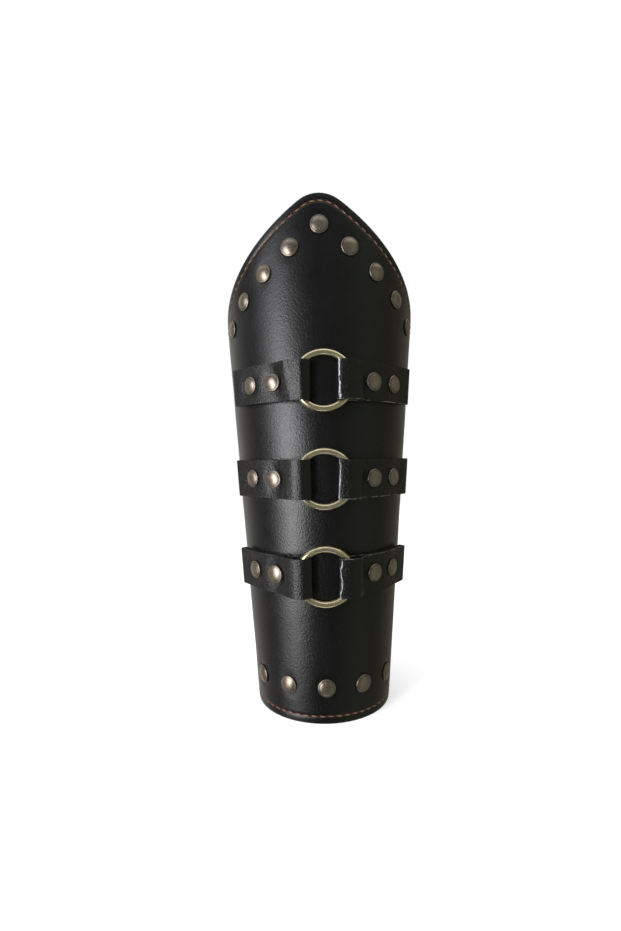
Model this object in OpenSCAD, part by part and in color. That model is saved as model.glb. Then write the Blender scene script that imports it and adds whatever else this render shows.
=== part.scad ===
// Forearm bracer in stiff black leather, with three metal rings held by riveted leather tabs.
// It stands on its wrist rim: Z runs from the wrist to the point at the elbow, the front faces -Y,
// and the back is open, with a row of lacing eyelets beside each edge. The origin is the middle of
// the space that it takes, at the level of the rim.
// Places on the leather are given as (s, z): the arc from the centre of the front, and the height.

/* [Shell] */
// outer radius at the wrist rim
wrist_r = 38.8; // [34:0.1:46]
// outer radius at the height of the point
elbow_r = 61.1; // [54:0.1:70]
// height of the point above the wrist rim
tip_h = 270; // [255:1:320]
// thickness of the outer leather
outer_t = 2; // [1.4:0.1:3.2]
// thickness of the lining
lining_t = 1.2; // [0.8:0.1:2]
// half of the angle left open at the back
gap_half = 16; // [10:1:22]

/* [Outline] */
// slope of the two sides of the crown, in degrees
crown_slope = 33; // [26:1:36]
// rounding of the point
tip_round = 20; // [8:1:36]
// how far the point leans to the right of the middle; the crown's sides lean with it
tip_shift = -1.6; // [-3:0.1:3]
// rounding of the back edges' upper corners
heel_round = 12; // [4:1:20]
// rounding of the back edges' corners at the wrist
cuff_round = 8; // [3:1:9]

/* [Rivets] */
// radius of a rivet cap
cap_r = 4.75; // [3.8:0.05:5.2]
// height of a cap's straight rim
cap_rim = 0.6; // [0.5:0.05:1]
// height of a cap's dome above its rim
cap_dome = 1.3; // [0.8:0.05:2]
// radius of a rivet post
post_r = 1.6; // [1.2:0.05:2]
// radius of the flange that closes a rivet on the inside
flange_r = 4.2; // [3.4:0.05:4.8]
// height of that flange's straight rim
flange_rim = 0.4; // [0.3:0.05:0.8]
// height of that flange's dome
flange_dome = 0.5; // [0.3:0.05:1]
// clearance round a post in leather and in its cap
rivet_fit = 0.02; // [0.01:0.01:0.1]
// distance of the crown rivets from the crown's edge
crown_inset = 16.4; // [13:0.1:20]
// spacing of the crown rivets along the edge
crown_pitch = 18.5; // [12:0.1:24]
// crown rivets on each side of the middle one
crown_count = 4; // [2:1:6]
// height of the wrist rivets
wrist_inset = 18.7; // [14:0.1:26]
// spacing of the wrist rivets round the rim
wrist_pitch = 20.6; // [14:0.1:24]
// wrist rivets on each side of the middle one
wrist_count = 2; // [1:1:3]

/* [Rings and tabs] */
// height of the lowest ring's centre
ring_low_z = 76.9; // [68:0.1:84]
// distance from one ring's centre to the next
ring_pitch = 49.6; // [42:0.1:52]
// radius of a ring to the middle of its wire
ring_r = 14.2; // [12.5:0.1:15]
// radius of a ring's wire
wire_r = 1.65; // [1.2:0.05:1.8]
// height of a ring's mid plane above the front of the leather
ring_lift = 2.1; // [1.9:0.05:2.6]
// width of a tab
tab_w = 20; // [15:0.1:21]
// thickness of one layer of a tab
tab_t = 1.5; // [1.1:0.05:1.7]
// clearance round the wire in a tab's loop
loop_fit = 0.15; // [0.1:0.01:0.3]
// gap between the wire and the round seat it presses into a fold
ring_fit = 0.09; // [0.05:0.01:0.09]
// arc from the front centre to a tab's inner rivet
tab_rivet_in = 26.1; // [25.5:0.1:28]
// arc from the front centre to a tab's outer rivet
tab_rivet_out = 40.5; // [38:0.1:43]
// length of a tab's free end beyond its outer rivet
tab_end = 13.2; // [9:0.1:16]
// angle by which the free end stands away from the leather
tab_open = 5; // [0:0.5:8]
// rounding of a free end's corners
tab_round = 0.8; // [0.6:0.1:4]
// height of a fold's front above the front of the leather
fold_h = 6.3; // [6.2:0.05:7]
// distance from the middle to the crease beside a fold
crease_x = 18.5; // [18:0.1:19.5]
// how far a fold's slanted side drops on its way to the crease
crease_drop = 2.9; // [2.4:0.1:3]
// gap between a tab and the leather that it lies on
tab_seat = 0.02; // [0.01:0.01:0.1]

/* [Lacing] */
// radius of an eyelet's bore
eye_r = 2.5; // [2:0.1:3]
// thickness of an eyelet's barrel
eye_t = 0.5; // [0.3:0.05:0.8]
// width of an eyelet's rolled head
eye_head = 2.4; // [1.8:0.1:3]
// thickness of the washer inside
washer_t = 0.7; // [0.5:0.05:1]
// width of the rim that is rolled over the washer
flare_w = 1.4; // [1:0.1:1.8]
// thickness of that rolled rim
flare_t = 0.4; // [0.3:0.05:0.6]
// distance of the eyelets from a back edge
lace_inset = 10; // [8.5:0.1:12]
// height of the lowest eyelet
lace_low_z = 16; // [12:0.5:24]
// spacing of the eyelets
lace_pitch = 23.5; // [18:0.1:32]
// least height left above the top eyelet
lace_top_clear = 10; // [9:0.5:20]

/* [Hidden] */
$fn = 120;
SMALL_FN = 60;
RAD = 180 / PI;
CLEAR = 3;
SLOPE = tan(crown_slope);
TAPER = (elbow_r - wrist_r) / tip_h;
LEAN = atan(TAPER);
wall_t = outer_t + lining_t;
spread = 180 - gap_half;
// each strap's height
STRAP_Z = [for (i = [0:2]) ring_low_z + i * ring_pitch];

// The cone that the leather follows.
function cone_r(z) = wrist_r + TAPER * z;
// The arc from the front centre to a back edge, at height z.
function edge_s(z) = spread / RAD * cone_r(z);
// How far a disc of radius r has to sink to bed all round on a surface of radius R.
function bed(r, R) = R - sqrt(R * R - r * r) + 0.03;

// Crown: two straight sides that meet in a rounded point. crown_peak is where they would cross.
crown_peak = tip_h - tip_round + tip_round / cos(crown_slope);
function crown_z(s) = crown_peak - SLOPE * s;
// The crown's side as it meets a back edge, seen from that edge.
heel_slope = SLOPE / (1 + SLOPE * TAPER * spread / RAD);
heel_z = (crown_peak - SLOPE * edge_s(0)) / (1 + SLOPE * TAPER * spread / RAD);
heel_mid = heel_z + heel_slope * heel_round - heel_round * sqrt(1 + heel_slope * heel_slope);
heel_turn = atan(heel_slope);
heel_from = heel_round * (1 - sin(heel_turn));

TIP_STEPS = 7;
SIDE_STEPS = 22;
HEEL_STEPS = 8;
side_s0 = tip_round * sin(crown_slope);
side_s1 = edge_s(heel_z + heel_slope * heel_from) - heel_from;
tip_line = [for (i = [0:TIP_STEPS]) let(a = crown_slope * i / TIP_STEPS)
    [tip_round * sin(a), tip_h - tip_round * (1 - cos(a))]];
side_line = [for (i = [1:SIDE_STEPS]) let(s = side_s0 + (side_s1 - side_s0) * i / SIDE_STEPS)
    [s, crown_z(s)]];
heel_line = [for (i = [1:HEEL_STEPS])
    let(a = (90 - heel_turn) * i / HEEL_STEPS + heel_turn)
    let(z = heel_mid + heel_round * cos(a))
    [edge_s(z) - heel_round * (1 - sin(a)), z]];
half_line = concat(tip_line, side_line, heel_line);
last = half_line[len(half_line) - 1];
// How far the crown leans to the right at height z.
function crown_lean(z) = tip_shift * max(0, z - heel_z) / (tip_h - heel_z);
// Azimuth and height of half of the crown's edge: side is 1 for the right half, -1 for the left.
function half_edge(side) = concat(
    [for (p = half_line) [(side * p[0] + crown_lean(p[1])) / cone_r(p[1]) * RAD, p[1]]],
    [[side * (spread + 2), last[1]]]);
left_edge = half_edge(-1);
// The whole edge, from one back edge to the other.
edge_line = concat([for (i = [len(left_edge) - 1:-1:1]) left_edge[i]], half_edge(1));

// The cone's axis stands behind the middle of the space that the leather takes.
back_y = max([for (p = half_line) -cone_r(p[1]) * cos(p[0] / cone_r(p[1]) * RAD)]);
axis_y = (cone_r(tip_h) - back_y) / 2;
module placed() translate([0, axis_y, 0]) children();

function polar(r, a) = [r * sin(a), -r * cos(a)];
function ring_of(p) = let(r = cone_r(p[1])) [
    concat(polar(r - wall_t - CLEAR, p[0]), p[1]),
    concat(polar(r + CLEAR, p[0]), p[1]),
    concat(polar(cone_r(tip_h) + 2 * CLEAR, p[0]), tip_h + 2 * CLEAR),
    concat(polar(r - wall_t - CLEAR, p[0]), tip_h + 2 * CLEAR)];

// What lies above the crown's edge: its under face is square to the leather all along.
module above_crown() {
    n = len(edge_line);
    points = [for (p = edge_line) for (q = ring_of(p)) q];
    sides = [for (i = [0:n - 2]) for (j = [0:3])
        let(a = 4 * i + j, b = 4 * i + (j + 1) % 4)
        each [[a, b + 4, a + 4], [a, b, b + 4]]];
    first_cap = [[0, 2, 1], [0, 3, 2]];
    end_cap = [[4 * n - 4, 4 * n - 3, 4 * n - 2], [4 * n - 4, 4 * n - 2, 4 * n - 1]];
    polyhedron(points = points, faces = concat(sides, first_cap, end_cap), convexity = 6);
}

// Stands its children on the leather at (s, z), with their Z square to it and their Y uphill.
module on_leather(s, z) {
    rotate([0, 0, s / cone_r(z) * RAD])
        translate([0, -cone_r(z), z])
            rotate([90 + LEAN, 0, 0]) children();
}

// Turns its children so that their Z runs up the front of the cone at height z.
module strap_frame(z) {
    translate([0, -cone_r(z), z])
        rotate([LEAN, 0, 0])
            translate([0, cone_r(z), 0]) children();
}

// One layer of the shell: its outer face lies deep below the leather's face.
module layer(deep, t) {
    d0 = deep / cos(LEAN);
    d1 = (deep + t) / cos(LEAN);
    rotate([0, 0, -90 - spread])
        rotate_extrude(angle = 2 * spread)
            polygon([[cone_r(0) - d1, 0], [cone_r(0) - d0, 0],
                [cone_r(tip_h) - d0, tip_h], [cone_r(tip_h) - d1, tip_h]]);
}

module cuff_corners() {
    reach = cuff_round + CLEAR;
    deep = wall_t + CLEAR;
    for (side = [0, 1]) mirror([side, 0, 0])
        on_leather(edge_s(cuff_round) - cuff_round, cuff_round) difference() {
            translate([0, -reach, -deep]) cube([reach, reach, 2 * deep]);
            translate([0, 0, -deep - 1]) cylinder(h = 2 * deep + 2, r = cuff_round);
        }
}

// Rivet rows
crown_row = crown_peak - crown_inset / cos(crown_slope);
crown_step = crown_pitch * cos(crown_slope);
CROWN_AT = [for (i = [-crown_count:crown_count])
    let(z = crown_row - SLOPE * abs(i) * crown_step)
    [i * crown_step + crown_lean(z), z]];
WRIST_AT = [for (i = [-wrist_count:wrist_count]) [i * wrist_pitch, wrist_inset]];
// A straight tab climbs a little as it goes round the cone.
function tab_rise(z, s) = cone_r(z) * (1 - cos(s / cone_r(z) * RAD)) * TAPER;
function tab_at(z) = [for (s = [-tab_rivet_out, -tab_rivet_in, tab_rivet_in, tab_rivet_out])
    [s, z + tab_rise(z, s)]];
// Each cap sinks this far into the tab that it holds.
tab_bed = bed(cap_r, cone_r(0)) + 0.15;

cap_hole = cap_rim + cap_dome / 3;
post_tip = cap_hole - 0.1;

module low_dome(r, rim, dome) {
    ball = (r * r + dome * dome) / (2 * dome);
    cylinder(h = rim, r = r, $fn = SMALL_FN);
    intersection() {
        translate([0, 0, rim + dome - ball]) sphere(r = ball, $fn = SMALL_FN * 2);
        translate([0, 0, rim / 2]) cylinder(h = rim + dome, r = r, $fn = SMALL_FN);
    }
}

module cap(seat) {
    translate([0, 0, seat]) difference() {
        low_dome(cap_r, cap_rim, cap_dome);
        translate([0, 0, -1]) cylinder(h = cap_hole + 1, r = post_r + rivet_fit, $fn = SMALL_FN);
    }
}

module post(seat) {
    translate([0, 0, -wall_t]) cylinder(h = wall_t + seat + post_tip, r = post_r, $fn = SMALL_FN);
    translate([0, 0, -wall_t]) mirror([0, 0, 1]) low_dome(flange_r, flange_rim, flange_dome);
}

// The hole for one rivet, with the flat beds of its cap and of its flange.
module rivet_hole(seat) {
    translate([0, 0, -wall_t - CLEAR])
        cylinder(h = 2 * (wall_t + CLEAR) + 2 * tab_t, r = post_r + rivet_fit, $fn = SMALL_FN);
    translate([0, 0, seat]) cylinder(h = 2 * CLEAR, r = cap_r + rivet_fit, $fn = SMALL_FN);
    translate([0, 0, -wall_t - CLEAR]) cylinder(h = CLEAR, r = flange_r + rivet_fit, $fn = SMALL_FN);
}

function shell_seat(z) = -bed(cap_r, cone_r(z));
tab_cap_seat = 2 * tab_t - tab_bed;

module rivet_holes() {
    for (p = concat(CROWN_AT, WRIST_AT)) on_leather(p[0], p[1]) rivet_hole(shell_seat(p[1]));
    for (z = STRAP_Z, p = tab_at(z)) on_leather(p[0], p[1]) rivet_hole(tab_cap_seat);
}

// Lacing
lace_n = floor((heel_mid - lace_top_clear - lace_low_z) / lace_pitch);
LACE_Z = [for (i = [0:lace_n]) lace_low_z + i * lace_pitch];
head_r = eye_r + eye_head;

module at_eyelets(side) {
    for (z = LACE_Z) mirror([side < 0 ? 1 : 0, 0, 0])
        on_leather(edge_s(z) - lace_inset, z)
            translate([0, 0, -bed(head_r, cone_r(z))]) children();
}

// An eyelet's head beds in the leather's face, and its washer beds in the lining's.
function eye_depth(z) = wall_t - bed(head_r, cone_r(z));

module eyelet_holes() {
    for (side = [-1, 1]) at_eyelets(side) {
        translate([0, 0, -wall_t - CLEAR])
            cylinder(h = wall_t + 2 * CLEAR, r = eye_r + eye_t + rivet_fit, $fn = SMALL_FN);
        cylinder(h = CLEAR, r = head_r + rivet_fit, $fn = SMALL_FN);
    }
    for (side = [-1, 1], z = LACE_Z) mirror([side < 0 ? 1 : 0, 0, 0])
        on_leather(edge_s(z) - lace_inset, z)
            translate([0, 0, -wall_t - CLEAR]) cylinder(h = CLEAR, r = head_r + rivet_fit, $fn = SMALL_FN);
}

module eyelet(depth) {
    $fn = SMALL_FN;
    rotate_extrude() {
        intersection() {
            translate([eye_r + eye_head / 2, 0]) circle(d = eye_head);
            translate([eye_r, 0]) square([eye_head, eye_head]);
        }
        translate([eye_r, -depth - washer_t]) square([eye_t, depth + washer_t]);
        translate([eye_r, -depth - washer_t - flare_t]) square([flare_w, flare_t]);
    }
}

module washer(depth) {
    $fn = SMALL_FN;
    translate([0, 0, -depth - washer_t]) difference() {
        cylinder(h = washer_t, r = head_r);
        translate([0, 0, -1]) cylinder(h = washer_t + 2, r = eye_r + eye_t + rivet_fit);
    }
}

module eyelets(side) {
    for (z = LACE_Z) mirror([side < 0 ? 1 : 0, 0, 0])
        on_leather(edge_s(z) - lace_inset, z)
            translate([0, 0, -bed(head_r, cone_r(z))]) eyelet(eye_depth(z));
}

module washers(side) {
    for (z = LACE_Z) mirror([side < 0 ? 1 : 0, 0, 0])
        on_leather(edge_s(z) - lace_inset, z)
            translate([0, 0, -bed(head_r, cone_r(z))]) washer(eye_depth(z));
}

module leather(deep, t) {
    difference() {
        layer(deep, t);
        above_crown();
        cuff_corners();
        rivet_holes();
        eyelet_holes();
    }
}

// Tabs: a strip folded round the ring's wire, both layers riveted through the shell.
loop_r = wire_r + loop_fit;
nose_r = loop_r + tab_t;
nose_x = sqrt(pow(ring_r, 2) - pow(tab_w / 2, 2));
fold_tip = nose_x - nose_r;
fold_flat = ring_r - 1.3;
LAND_TURN = 3;
// Inside radii of the strip's bends: at its tip, front, crease, landing and under the tip.
tip_bend = 0.3;
front_bend = 4.2;
crease_bend = 0.8;
land_bend = 1.3;
low_bend = 1;
function meet_a(R) = (tab_rivet_in - cap_r + 0.25) / R * RAD;
function end_a(R) = (tab_rivet_out + 3) / R * RAD;
flap_l = tab_end - 3;

ARC_STEP = 8;
function arc(c, r, a0, a1) = let(n = ceil(abs(a1 - a0) / ARC_STEP))
    [for (i = [0:n]) c + polar(r, a0 + (a1 - a0) * i / n)];

function unit(a, b) = (b - a) / norm(b - a);
// The rounding of radius r at corner b, on the way from a to c.
function fillet(a, b, c, r) =
    let(u = unit(a, b), v = unit(b, c), side = u[0] * v[1] > u[1] * v[0] ? 1 : -1)
    let(turn = acos(u * v), a0 = atan2(side * u[1], side * u[0]))
    arc(b - r * tan(turn / 2) * u - polar(r, a0), r, a0, a0 + side * turn);
// Corner b moved inwards by one layer, on both of its sides.
function inside(a, b, c) = let(u = unit(a, b), v = unit(b, c))
    b + tab_t * [-u[1] - v[1], u[0] + v[0]] / (1 + u * v);

// The outside of a fold: up its tip, along its front, down to the crease and down to the leather.
function fold_corners(R) = [
    [fold_tip, -R + CLEAR],
    [fold_tip, -R - fold_h],
    [fold_flat, -R - fold_h],
    [crease_x, -R - fold_h + crease_drop],
    polar(R + 2 * tab_t, meet_a(R)),
    polar(R + 2 * tab_t, meet_a(R) + LAND_TURN)];

// The strip seen along its edge: the fold, both layers on the leather, and the free end.
module tab_outline(R) {
    c = fold_corners(R);
    root = polar(R, end_a(R));
    turn = end_a(R) - tab_open;
    along = [cos(turn), sin(turn)];
    up = [sin(turn), -cos(turn)];
    polygon(concat(
        [c[0]],
        fillet(c[0], c[1], c[2], tab_t + tip_bend),
        fillet(c[1], c[2], c[3], tab_t + front_bend),
        fillet(c[2], c[3], c[4], tab_t + crease_bend),
        fillet(c[3], c[4], c[5], land_bend),
        arc([0, 0], R + 2 * tab_t, meet_a(R) + LAND_TURN, end_a(R)),
        [root + flap_l * along + 2 * tab_t * up, root + flap_l * along, root],
        [polar(R - CLEAR, end_a(R)), polar(R - CLEAR, meet_a(R))]));
}

// The space between the layers, which the wire lies in.
module tab_slot(R) {
    c = fold_corners(R);
    tip = polar(R + tab_t, meet_a(R));
    low_x = fold_tip + tab_t;
    low_a = asin((low_x + 1.5) / (R + tab_t));
    low = polar(R + tab_t, asin(low_x / (R + tab_t)));
    top = inside(c[0], c[1], c[2]);
    bend = inside(c[1], c[2], c[3]);
    crease = inside(c[2], c[3], c[4]);
    polygon(concat(
        fillet(polar(R + tab_t, low_a), low, top, low_bend),
        fillet(low, top, bend, tip_bend),
        fillet(top, bend, crease, front_bend),
        fillet(bend, crease, tip, crease_bend),
        arc([0, 0], R + tab_t, meet_a(R), low_a)));
}

// What the rounded corners take off the free end.
module tab_corners(R) {
    rotate([0, 0, end_a(R)]) translate([0, -R, 0]) rotate([0, 0, -tab_open])
        for (side = [0, 1]) mirror([0, 0, side])
            translate([flap_l - tab_round, 0, tab_w / 2 - tab_round])
                rotate([90, 0, 0]) difference() {
                    translate([0, 0, -1]) cube([2 * tab_round, 2 * tab_round, 2 * tab_t + 2]);
                    translate([0, 0, -2]) cylinder(h = 2 * tab_t + 4, r = tab_round, $fn = SMALL_FN);
                }
}

module cone_core(extra) {
    translate([0, 0, -CLEAR])
        cylinder(h = tip_h + 2 * CLEAR, r1 = cone_r(-CLEAR) + extra, r2 = cone_r(tip_h + CLEAR) + extra);
}

module hoop(i, r) {
    translate([0, -cone_r(STRAP_Z[i]) - ring_lift, 0])
        rotate([90, 0, 0]) rotate_extrude() translate([ring_r, 0]) circle(r = r, $fn = SMALL_FN);
}

// The ring also presses its own round seat into the folds, where it curves away inside them.
module tab(i, side) {
    z = STRAP_Z[i];
    R = cone_r(z);
    mirror([side < 0 ? 1 : 0, 0, 0]) difference() {
        strap_frame(z) difference() {
            translate([0, 0, -tab_w / 2]) linear_extrude(tab_w) difference() {
                tab_outline(R);
                tab_slot(R);
            }
            tab_corners(R);
            hoop(i, wire_r + ring_fit);
        }
        cone_core(tab_seat / cos(LEAN));
        for (p = tab_at(z)) if (p[0] > 0) on_leather(p[0], p[1]) rivet_hole(tab_cap_seat);
    }
}

module ring(i) {
    strap_frame(STRAP_Z[i]) hoop(i, wire_r);
}

module tab_rivet_caps(i) {
    for (p = tab_at(STRAP_Z[i])) on_leather(p[0], p[1]) cap(tab_cap_seat);
}

module tab_rivet_posts(i) {
    for (p = tab_at(STRAP_Z[i])) on_leather(p[0], p[1]) post(tab_cap_seat);
}

module outer_shell() color([0.12, 0.12, 0.12]) placed() leather(0, outer_t);
module lining() color([0.3, 0.26, 0.22]) placed() leather(outer_t, lining_t);
module tab_upper_left() color([0.2, 0.2, 0.2]) placed() tab(2, -1);
module tab_upper_right() color([0.2, 0.2, 0.2]) placed() tab(2, 1);
module tab_middle_left() color([0.25, 0.25, 0.25]) placed() tab(1, -1);
module tab_middle_right() color([0.25, 0.25, 0.25]) placed() tab(1, 1);
module tab_lower_left() color([0.2, 0.2, 0.2]) placed() tab(0, -1);
module tab_lower_right() color([0.2, 0.2, 0.2]) placed() tab(0, 1);
module ring_upper() color([0.8, 0.75, 0.6]) placed() ring(2);
module ring_middle() color([0.8, 0.75, 0.6]) placed() ring(1);
module ring_lower() color([0.8, 0.75, 0.6]) placed() ring(0);
module tab_rivet_caps_upper() color([0.6, 0.55, 0.5]) placed() tab_rivet_caps(2);
module tab_rivet_caps_middle() color([0.6, 0.55, 0.5]) placed() tab_rivet_caps(1);
module tab_rivet_caps_lower() color([0.6, 0.55, 0.5]) placed() tab_rivet_caps(0);
module tab_rivet_posts_upper() color([0.5, 0.5, 0.5]) placed() tab_rivet_posts(2);
module tab_rivet_posts_middle() color([0.5, 0.5, 0.5]) placed() tab_rivet_posts(1);
module tab_rivet_posts_lower() color([0.5, 0.5, 0.5]) placed() tab_rivet_posts(0);

module crown_rivet_caps() color([0.6, 0.55, 0.5]) placed()
    for (p = CROWN_AT) on_leather(p[0], p[1]) cap(shell_seat(p[1]));
module crown_rivet_posts() color([0.5, 0.5, 0.5]) placed()
    for (p = CROWN_AT) on_leather(p[0], p[1]) post(shell_seat(p[1]));
module wrist_rivet_caps() color([0.6, 0.55, 0.5]) placed()
    for (p = WRIST_AT) on_leather(p[0], p[1]) cap(shell_seat(p[1]));
module wrist_rivet_posts() color([0.5, 0.5, 0.5]) placed()
    for (p = WRIST_AT) on_leather(p[0], p[1]) post(shell_seat(p[1]));

module eyelets_left() color([0.7, 0.65, 0.5]) placed() eyelets(-1);
module eyelets_right() color([0.7, 0.65, 0.5]) placed() eyelets(1);
module eyelet_washers_left() color([0.5, 0.5, 0.45]) placed() washers(-1);
module eyelet_washers_right() color([0.5, 0.5, 0.45]) placed() washers(1);

outer_shell();
lining();
tab_upper_left();
tab_upper_right();
tab_middle_left();
tab_middle_right();
tab_lower_left();
tab_lower_right();
ring_upper();
ring_middle();
ring_lower();
tab_rivet_caps_upper();
tab_rivet_caps_middle();
tab_rivet_caps_lower();
tab_rivet_posts_upper();
tab_rivet_posts_middle();
tab_rivet_posts_lower();
crown_rivet_caps();
crown_rivet_posts();
wrist_rivet_caps();
wrist_rivet_posts();
eyelets_left();
eyelets_right();
eyelet_washers_left();
eyelet_washers_right();
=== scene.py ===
"""Looks of the forearm bracer: wrapped leather, folded tabs, rings, rivets, eyelets and stitching.

Sizes are in millimetres and become metres where a mesh is shaped. Places on the leather are given
as (s, z): the arc from the centre of the front on the outer face, and the height.
"""

import math

import bpy
import numpy as np
from mathutils import Matrix, Vector, kdtree, noise


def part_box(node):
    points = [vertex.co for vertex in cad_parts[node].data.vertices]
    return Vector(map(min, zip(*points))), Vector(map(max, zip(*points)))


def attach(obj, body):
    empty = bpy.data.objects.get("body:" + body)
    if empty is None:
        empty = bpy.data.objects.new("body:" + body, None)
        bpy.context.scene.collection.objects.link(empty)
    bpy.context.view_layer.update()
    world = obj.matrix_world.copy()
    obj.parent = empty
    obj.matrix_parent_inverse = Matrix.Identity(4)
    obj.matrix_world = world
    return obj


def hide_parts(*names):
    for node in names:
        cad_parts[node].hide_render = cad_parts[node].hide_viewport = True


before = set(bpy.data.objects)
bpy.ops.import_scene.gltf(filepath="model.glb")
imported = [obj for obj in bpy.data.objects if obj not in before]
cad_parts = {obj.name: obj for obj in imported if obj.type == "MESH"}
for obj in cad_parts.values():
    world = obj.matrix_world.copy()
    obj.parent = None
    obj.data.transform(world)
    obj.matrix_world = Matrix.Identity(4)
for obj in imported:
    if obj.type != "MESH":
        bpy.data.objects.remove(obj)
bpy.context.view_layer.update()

MM = 0.001

# Leather
WRIST_R = 38.8
ELBOW_R = 61.1
TIP_H = 270.0
OUTER_T = 2.0
LINING_T = 1.2
# Between two pieces of leather that lie on each other
LAYER_GAP = 0.02
WALL_T = OUTER_T + LINING_T
SPREAD = math.radians(164)
TAPER = (ELBOW_R - WRIST_R) / TIP_H
LEAN = math.atan(TAPER)
AXIS_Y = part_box("outer_shell")[0].y / MM + ELBOW_R

# Outline of the leather
CROWN_SLOPE = math.radians(33)
TIP_ROUND = 20.0
TIP_SHIFT = -1.6
HEEL_ROUND = 12.0
CUFF_ROUND = 8.0

# Rivets
CAP_R = 4.75
# How far a cap sinks more than it has to, on the shell and on the softer tabs
CAP_CLEAR = 0.03
CAP_PRESS = 0.15
CROWN_INSET = 16.4
CROWN_PITCH = 18.5
CROWN_SIDE = 4
WRIST_INSET = 18.7
WRIST_PITCH = 20.6
WRIST_SIDE = 2

# Rings and tabs: each strap's height, the lean of its creases, and how strong the painted highlight
# along the ridge of its right fold is
STRAPS = {"lower": 76.9, "middle": 126.5, "upper": 176.1}
LEANS = {"lower": 0.0, "middle": 0.3, "upper": -1.4}
RIDGE_HIGHLIGHTS = {"lower": 0.6, "middle": 0.75, "upper": 0.85}
RING_R = 14.2
WIRE_R = 1.65
RING_LIFT = 2.1
TAB_W = 20.0
TAB_T = 1.5
# Room round the wire in its fold
WIRE_FIT = 0.09
TAB_RIVETS = (26.1, 40.5)
TAB_ROUND = 0.8
# A strip is modelled this much thinner, so that its two layers don't meet
TAB_THINNED = 0.06
# Past its outer rivet a strip lies on for TAB_FLAP, then stands off by TAB_OPEN as far as TAB_END
TAB_FLAP = 3.0
TAB_OPEN = math.radians(5)
TAB_END = 13.2

# Lacing eyelets
LACE_INSET = 10.0
LACE_LOW_Z = 16.0
LACE_PITCH = 23.5
LACE_COUNT = 7
EYELET_HOLE_R = 3.04

# Stitching
STITCH_IN = 3.8
STITCH_PITCH = 4.4
STITCH_LENGTH = 3.7
STITCH_TURN = math.radians(7)
STITCH_SINK = 0.1
STITCH_SINK_INSIDE = 0.05
STITCH_DIVE = 0.3
THREAD_R = 0.36
THREAD_FLAT = 0.8


def cone_r(z):
    """Outer radius of the leather at height z."""
    return WRIST_R + TAPER * z


def edge_arc(z):
    """Arc from the front centre to a back edge at height z."""
    return SPREAD * cone_r(z)


def wrapped(azimuth, z, out):
    """Points out millimetres off the leather's outer face, as an array in metres."""
    azimuth, z, out = np.broadcast_arrays(*(np.asarray(a, float) for a in (azimuth, z, out)))
    r = cone_r(z) + out * math.cos(LEAN)
    points = np.stack((r * np.sin(azimuth), AXIS_Y - r * np.cos(azimuth), z - out * math.sin(LEAN)), -1)
    return points * MM


APEX = WRIST_R / TAPER


def flattened(azimuth, z):
    """The leather laid flat: where a point of the cone lies on the pattern it is cut from."""
    far = (z + APEX) / math.cos(LEAN)
    turn = azimuth * math.sin(LEAN)
    return np.stack((far * np.sin(turn), far * np.cos(turn)), -1)


def rolled(flat):
    """Azimuth and height of a point of the flat pattern once the leather is rolled up."""
    far = np.hypot(flat[..., 0], flat[..., 1])
    turn = np.arctan2(flat[..., 0], flat[..., 1])
    return turn / math.sin(LEAN), far * math.cos(LEAN) - APEX


def seat(s, z, out=0.0):
    """Frame of a place on the leather: X along the arc, Y uphill, Z square to the leather."""
    a = s / cone_r(z)
    turned = Matrix.Rotation(a, 4, "Z") @ Matrix.Rotation(math.pi / 2 + LEAN, 4, "X")
    return Matrix.Translation(wrapped(a, z, out)) @ turned


# Crown: two straight sides at CROWN_SLOPE that meet in a rounded point
PEAK = TIP_H - TIP_ROUND + TIP_ROUND / math.cos(CROWN_SLOPE)
SLOPE = math.tan(CROWN_SLOPE)
SIDE_FROM = TIP_ROUND * math.sin(CROWN_SLOPE)
SHEAR = 1 + SLOPE * TAPER * SPREAD
HEEL_SLOPE = SLOPE / SHEAR
HEEL_Z = (PEAK - SLOPE * edge_arc(0)) / SHEAR
HEEL_MID = HEEL_Z + HEEL_SLOPE * HEEL_ROUND - HEEL_ROUND * math.hypot(1, HEEL_SLOPE)
HEEL_FROM = HEEL_ROUND * (1 - math.sin(math.atan(HEEL_SLOPE)))


def crown_lean(z):
    """How far the crown has shifted to the right at height z: below zero, to the left."""
    return TIP_SHIFT * np.maximum(0, z - HEEL_Z) / (TIP_H - HEEL_Z)


def crown_height(s, inset):
    """Height of the crown's edge at arc s, where the back edge is inset away."""
    side = PEAK - SLOPE * s
    tip = TIP_H - TIP_ROUND + np.sqrt(np.maximum(TIP_ROUND**2 - s**2, 0))
    heel = HEEL_MID + np.sqrt(np.maximum(HEEL_ROUND**2 - (HEEL_ROUND - inset) ** 2, 0))
    return np.where(s < SIDE_FROM, tip, np.where(inset < HEEL_FROM, heel, side))


def rim_height(inset):
    """Height of the wrist rim where the back edge is inset away: its corners are rounded."""
    corner = CUFF_ROUND - np.sqrt(np.maximum(CUFF_ROUND**2 - (CUFF_ROUND - inset) ** 2, 0))
    return np.where(inset < CUFF_ROUND, corner, 0.0)


OUTLINE_STEP = 0.5
OUTLINE_TURN_POINTS = 30


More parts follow.
